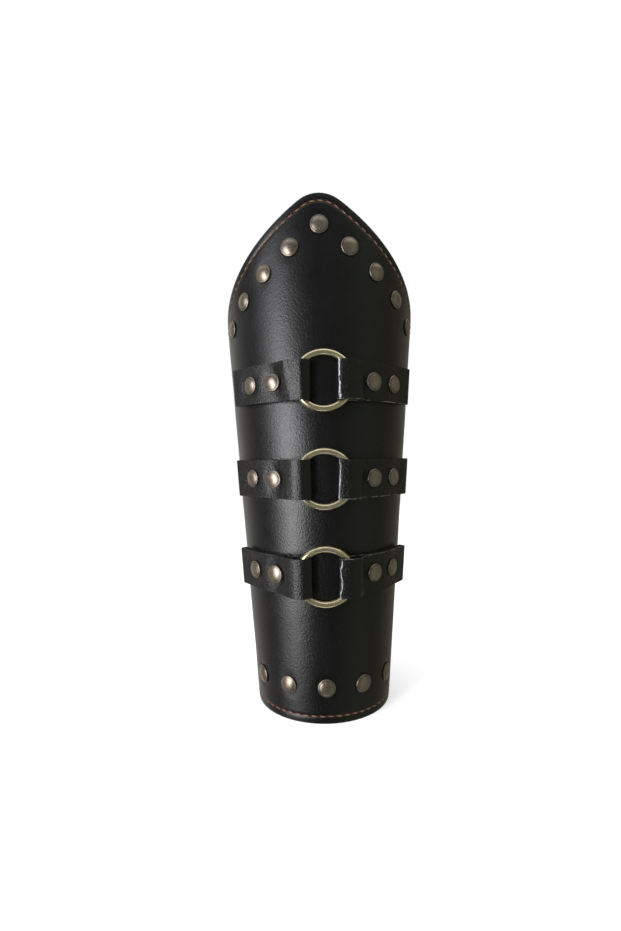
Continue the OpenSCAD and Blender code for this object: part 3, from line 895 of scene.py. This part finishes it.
def black_leather(name, colour, grain, rough):
    """Smooth finished leather: fine pebbled grain, faint creases, cloudy gloss, a pale painted highlight
    along fold ridges and a grey painted highlight along some cut edges.

    grain is the depth of the grain in millimetres, and rough the roughness where the gloss is even.
    """
    finish = Finish(name, specular_ior_level=0.5)
    bent = finish.bent(0.0006, 0.5 * PER_MM)
    pebbles = finish.pebbles(PER_MM, bent)
    pores = finish.noise(2.2 * PER_MM, 2)
    mottle = finish.noise(1.1 * PER_MM, 3, 0.55)
    creases = finish.noise(0.16 * PER_MM, 5, 0.62, finish.bent(0.003, 0.08 * PER_MM))
    clouds = finish.noise(0.045 * PER_MM, 3)
    edge = finish.attribute("rim").within(0.25, 1.1)
    height = pebbles + pores * 0.5 + mottle * 0.9 + creases * 0.5
    gloss = clouds * 0.10 + pores * 0.08 + creases * 0.10 + (rough - 0.14)
    beside = finish.attribute("from_ridge") + finish.noise(0.2 * PER_MM, 3) * 2.8 - 1.4
    # A pale painted highlight along the ridge of each right fold, broken up by noise
    ridge_glint = (beside * beside).within(0.015, 0.10, 1, 0) * finish.attribute("scuff")
    ridge_glint = ridge_glint * finish.noise(0.5 * PER_MM, 2).within(0.35, 0.55, 0.2, 1)
    # A grey painted highlight along one long cut edge of some tabs, broken up by noise
    rubbed = finish.attribute("rim").within(0.2, 0.5, 1, 0) * finish.attribute("rubbed")
    rubbed = rubbed * finish.noise(0.25 * PER_MM, 3).within(0.4, 0.6, 0, 0.5)
    black = finish.mix(clouds * creases * 1.6, colour, [c * 1.7 for c in colour])
    black = finish.mix(finish.attribute("seam") * 0.7, black, STAINED_SEAM)
    black = finish.mix(rubbed, black, EDGE_HIGHLIGHT)
    finish.feed(
        base_color=finish.mix(ridge_glint, black, RIDGE_HIGHLIGHT),
        roughness=gloss + (1 - edge) * 0.08 + ridge_glint * 0.2,
        normal=finish.bump(height, grain * MM),
    )
    return finish.material


def edge_paint():
    """Black edge paint on the leather's cut edges: matt, with the fibres showing through."""
    finish = Finish("edge_paint", specular_ior_level=0.15)
    fibres = finish.noise(1.8 * PER_MM, 4, 0.65)
    finish.feed(
        base_color=finish.mix(fibres, (0.0035, 0.0035, 0.0035), (0.014, 0.013, 0.012)),
        roughness=fibres * 0.2 + 0.65,
        normal=finish.bump(fibres, 0.08 * MM),
    )
    return finish.material


def suede():
    """The lining's flesh side: matt nap with soft patches."""
    finish = Finish("black_suede", specular_ior_level=0.25)
    nap = finish.noise(3.2 * PER_MM, 4, 0.7)
    patches = finish.noise(0.07 * PER_MM, 3)
    finish.feed(
        base_color=finish.mix(nap * 0.5 + patches * 0.5, (0.016, 0.015, 0.014), (0.05, 0.046, 0.042)),
        roughness=nap * 0.15 + 0.8,
        normal=finish.bump(nap, 0.12 * MM),
    )
    return finish.material


def thread():
    """Waxed red-brown thread, plain dark red-brown where it dives into the holes, with a pale painted
    highlight on the crest of each stitch.
    """
    finish = Finish("waxed_thread", specular_ior_level=0.5)
    twist = finish.noise(3.5 * PER_MM, 2)
    highlight_patches = finish.noise(0.25 * PER_MM, 3)
    # Pale painted highlight on the crest of each stitch, weaker in noisy patches
    crest = finish.attribute("crest").within(0.35, 0.95) * highlight_patches.within(0.3, 0.6, 0.45, 1)
    crest_highlight = finish.mix(crest, (0.085, 0.030, 0.012), (0.29, 0.175, 0.10))
    finish.feed(
        base_color=finish.mix(twist * 0.5, crest_highlight, (0.05, 0.016, 0.008)),
        roughness=twist * 0.2 + 0.42,
        normal=finish.bump(twist, 0.05 * MM),
    )
    return finish.material


def antique_metal(name, dark, light, rough):
    """Antique-plated metal: brushed, painted dark in a cap's groove (patina and painted shade) and at its
    foot (painted shade), polished bright in patches.
    """
    finish = Finish(name, metallic=0.84)
    brushed = finish.noise(1.3 * PER_MM, 2, 0.5)
    patches = finish.noise(0.22 * PER_MM, 3)
    recess = finish.attribute("recess")
    rubbed = finish.mix(patches.within(0.3, 0.7) * 0.35 + brushed * 0.2 + 0.2, dark, light)
    finish.feed(
        # Painted dark where the cap's attribute says: patina and painted shade in the groove, painted shade
        # at the foot
        base_color=finish.mix(recess * 0.9, rubbed, [c * 0.15 for c in dark]),
        roughness=brushed * 0.14 + patches * 0.08 + recess * 0.2 + (rough - 0.11),
        normal=finish.bump(brushed, 0.02 * MM),
    )
    return finish.material


def ring_plating():
    """Pale champagne nickel on drawn wire, with faint rubbing."""
    finish = Finish("champagne_nickel", metallic=0.91)
    rubbing = finish.noise(0.9 * PER_MM, 4, 0.6)
    patches = finish.noise(0.12 * PER_MM, 2)
    finish.feed(
        base_color=finish.mix(patches, (0.66, 0.57, 0.37), (0.84, 0.745, 0.50)),
        roughness=rubbing * 0.14 + 0.14,
        normal=finish.bump(rubbing, 0.008 * MM),
    )
    return finish.material


def dress(piece, material=None, body="bracer", nodes=()):
    """Gives a piece its finish and body, and hides the nodes that it stands for."""
    if material:
        piece.data.materials.clear()
        piece.data.materials.append(material)
    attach(piece, body)
    if nodes:
        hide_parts(*nodes)


# The bracer
leather = black_leather("black_leather", (0.0022, 0.0023, 0.0024), grain=0.07, rough=0.32)
strap_leather = black_leather("black_strap_leather", (0.0024, 0.0023, 0.0023), grain=0.16, rough=0.35)
cap_metal = antique_metal("antique_nickel", (0.135, 0.109, 0.08), (0.34, 0.295, 0.24), 0.29)
plain_metal = antique_metal("antique_nickel_plain", (0.20, 0.18, 0.16), (0.42, 0.38, 0.34), 0.38)
cut_edge = edge_paint()
nickel = ring_plating()
thread_wax = thread()

dress(outer_leather([leather, cut_edge]), nodes=["outer_shell"])
dress(lining_leather([suede(), cut_edge]), nodes=["lining"])
inside_line = -WALL_T - STITCH_SINK_INSIDE
dress(copies(stitch(), stitch_places(-STITCH_SINK), "edge_stitches"), thread_wax)
dress(copies(stitch(), stitch_places(inside_line), "edge_stitches_inside"), thread_wax)

for level, height in STRAPS.items():
    for side_name, side in (("left", -1), ("right", 1)):
        node = f"tab_{level}_{side_name}"
        fold = FOLDS[f"{level}_{side_name}"]
        # Only the right folds get the painted highlight along their ridge
        scuff = RIDGE_HIGHLIGHTS[level] if side > 0 else 0
        lean = LEANS[level] * side
        # Which long edge of this tab gets a painted highlight
        rubbed = HIGHLIGHTED_EDGES.get(f"{level}_{side_name}", 0)
        strip = tab(f"{node}_strip", height, side, fold, lean, scuff, rubbed, [strap_leather, cut_edge])
        dress(strip, nodes=[node])
    node = f"ring_{level}"
    dress(ring(f"{node}_wire", height), nickel, body=f"{level}_ring", nodes=[node])
    node = f"tab_rivet_caps_{level}"
    tab_seat = 2 * TAB_T - bed(CAP_R, 0) - CAP_PRESS
    row = caps(f"{node}_turned", tab_rivets_at(height), lambda z: tab_seat)
    dress(row, cap_metal, nodes=[node])

for row_name, places in (("crown", CROWN_AT), ("wrist", WRIST_AT)):
    node = f"{row_name}_rivet_caps"
    dress(caps(f"{node}_turned", places, lambda z: -bed(CAP_R, z)), cap_metal, nodes=[node])

# The posts, eyelets and washers are the frame's own meshes
for node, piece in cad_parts.items():
    if not piece.hide_render:
        piece.data.materials.clear()
        piece.data.materials.append(plain_metal)


# Studio. Angles are in degrees, 0 in front and 90 to the right, and radiances beside a white of 1
FLOOR_R = 3
FLOOR_GLOW = 0.28
WALL_COLUMNS, WALL_ROWS = 64, 24
WALL_FROM, WALL_TO = -166, 166
WALL_LOW, WALL_HIGH = -75, 45
WALL_FAR = 0.7
WALL_COLOURS = (
    (-166, (0.68, 0.66, 0.62)),
    (-135, (0.68, 0.66, 0.62)),
    (-95, (0.20, 0.185, 0.165)),
    (-60, (0.05, 0.048, 0.05)),
    (5, (0.05, 0.05, 0.047)),
    (26, (0.12, 0.14, 0.09)),
    (56, (0.26, 0.29, 0.19)),
    (83, (0.16, 0.145, 0.10)),
    (110, (0.20, 0.185, 0.14)),
    (150, (0.32, 0.29, 0.23)),
)
WINDOW = 11.5
WINDOW_FALLOFF = 1.5
WINDOW_TINTS = (1, 0.975, 0.985), (0.98, 0.97, 1.04)
TINTS_FROM_TO = (-8, 12)
WINDOW_LEFT = (-67, -41)
WINDOW_RIGHT = (-34, -22)
WINDOW_SLANTS = (-45, -10, 12, 0), (-10, 40, 0, 18)
WINDOW_LOW = (-50, -14)
WINDOW_HIGH = (8, 35)


def white_floor():
    """A pale floor that looks white and keeps a soft shadow. Shiny surfaces look past it at the wall."""
    deselect()
    bpy.ops.mesh.primitive_circle_add(vertices=96, radius=FLOOR_R, fill_type="NGON")
    floor = renamed(bpy.context.object, "floor")
    material = bpy.data.materials.new("pale_floor")
    material.use_nodes = True
    matt = material.node_tree.nodes["Principled BSDF"]
    matt.inputs["Base Color"].default_value = (0.9, 0.9, 0.9, 1)
    matt.inputs["Roughness"].default_value = 0.9
    matt.inputs["Specular IOR Level"].default_value = 0.1
    matt.inputs["Emission Color"].default_value = (1, 1, 1, 1)
    matt.inputs["Emission Strength"].default_value = FLOOR_GLOW
    floor.data.materials.append(material)
    floor.visible_glossy = False
    floor.visible_diffuse = False
    floor.visible_shadow = False


def pale_world():
    """White light from all sides."""
    world = bpy.data.worlds.new("studio")
    bpy.context.scene.world = world
    world.use_nodes = True
    back = world.node_tree.nodes["Background"]
    back.inputs["Color"].default_value = (1, 1, 1, 1)
    back.inputs["Strength"].default_value = 1


def studio_wall():
    """A round wall that only shiny surfaces see: dark in front, with a window on the left."""
    wall, column, row = grid("studio_wall", WALL_COLUMNS, WALL_ROWS)
    turn = WALL_FROM + (WALL_TO - WALL_FROM) * column / WALL_COLUMNS
    tilt = WALL_LOW + (WALL_HIGH - WALL_LOW) * row / WALL_ROWS
    a, e = np.radians(turn), np.radians(tilt)
    middle = (0, 0, TIP_H / 2 * MM)
    reshape(wall, middle + WALL_FAR * np.stack((np.sin(a), -np.cos(a), np.tan(e)), -1))
    note(wall, "turn", turn)
    note(wall, "tilt", tilt)
    for ray in ("camera", "diffuse", "shadow", "transmission"):
        setattr(wall, f"visible_{ray}", False)
    unlit = {"base_color": (0, 0, 0, 1), "roughness": 1, "specular_ior_level": 0}
    finish = Finish("studio_wall", **unlit, emission_strength=WINDOW)
    turn, tilt = finish.attribute("turn"), finish.attribute("tilt")
    slanted = turn + tilt.within(*WINDOW_SLANTS[0]) + tilt.within(*WINDOW_SLANTS[1])
    window = slanted.within(*WINDOW_LEFT) * slanted.within(*WINDOW_RIGHT, 1, 0)
    window = window * tilt.within(*WINDOW_LOW) * tilt.within(*WINDOW_HIGH, 1, 0)
    stops = [((at + 180) / 360, [c / WINDOW for c in colour]) for at, colour in WALL_COLOURS]
    dim = finish.start.node("ShaderNodeValToRGB", {"stops": stops}, {"Fac": turn.within(-180, 180)})
    light = finish.mix(tilt.within(*TINTS_FROM_TO), *WINDOW_TINTS)
    finish.feed(emission_color=finish.mix(window**WINDOW_FALLOFF, dim, light))
    wall.data.materials.append(finish.material)


def softbox(name, azimuth, elevation, distance, size, power):
    """A lamp that faces the middle of the bracer. Azimuth 0 is in front, and 90 to the right."""
    a, e = math.radians(azimuth), math.radians(elevation)
    away = Vector((math.sin(a) * math.cos(e), -math.cos(a) * math.cos(e), math.sin(e)))
    lamp = bpy.data.lights.new(name, "AREA")
    lamp.shape = "RECTANGLE"
    lamp.size, lamp.size_y = size
    lamp.energy = power
    lamp.specular_factor = 0
    holder = bpy.data.objects.new(name, lamp)
    holder.location = Vector((0, 0, TIP_H / 2 * MM)) + away * distance
    holder.rotation_mode = "QUATERNION"
    holder.rotation_quaternion = away.to_track_quat("Z", "Y")
    holder.visible_glossy = False
    bpy.context.scene.collection.objects.link(holder)


white_floor()
pale_world()
studio_wall()
softbox("window_lamp", azimuth=-48, elevation=15, distance=0.8, size=(0.4, 0.5), power=6)

# Camera, fitted to the photograph
CAMERA_AT = (-9.58, -259.41, 120.82)
CAMERA_YAW = 0.0118
CAMERA_PITCH = 0.0585
CAMERA_ROLL = -0.0129
FOCAL_PX = 422.3
LONG_SIDE_PX = 931
SENSOR = 36.0


def photo_camera():
    """The camera, aimed by its yaw to the right, its pitch upwards and its roll."""
    data = bpy.data.cameras.new("camera")
    data.sensor_width = SENSOR
    data.lens = FOCAL_PX * SENSOR / LONG_SIDE_PX
    data.clip_start = 0.01
    camera = bpy.data.objects.new("camera", data)
    forward = Vector(
        (
            math.sin(CAMERA_YAW) * math.cos(CAMERA_PITCH),
            math.cos(CAMERA_YAW) * math.cos(CAMERA_PITCH),
            math.sin(CAMERA_PITCH),
        )
    )
    level = Vector((math.cos(CAMERA_YAW), -math.sin(CAMERA_YAW), 0))
    upright = level.cross(forward)
    right = level * math.cos(CAMERA_ROLL) + upright * math.sin(CAMERA_ROLL)
    up = upright * math.cos(CAMERA_ROLL) - level * math.sin(CAMERA_ROLL)
    turn = Matrix((right, up, -forward)).transposed().to_4x4()
    camera.matrix_world = Matrix.Translation(Vector(CAMERA_AT) * MM) @ turn
    bpy.context.scene.collection.objects.link(camera)
    bpy.context.scene.camera = camera


photo_camera()
bpy.context.scene.view_settings.view_transform = "Standard"
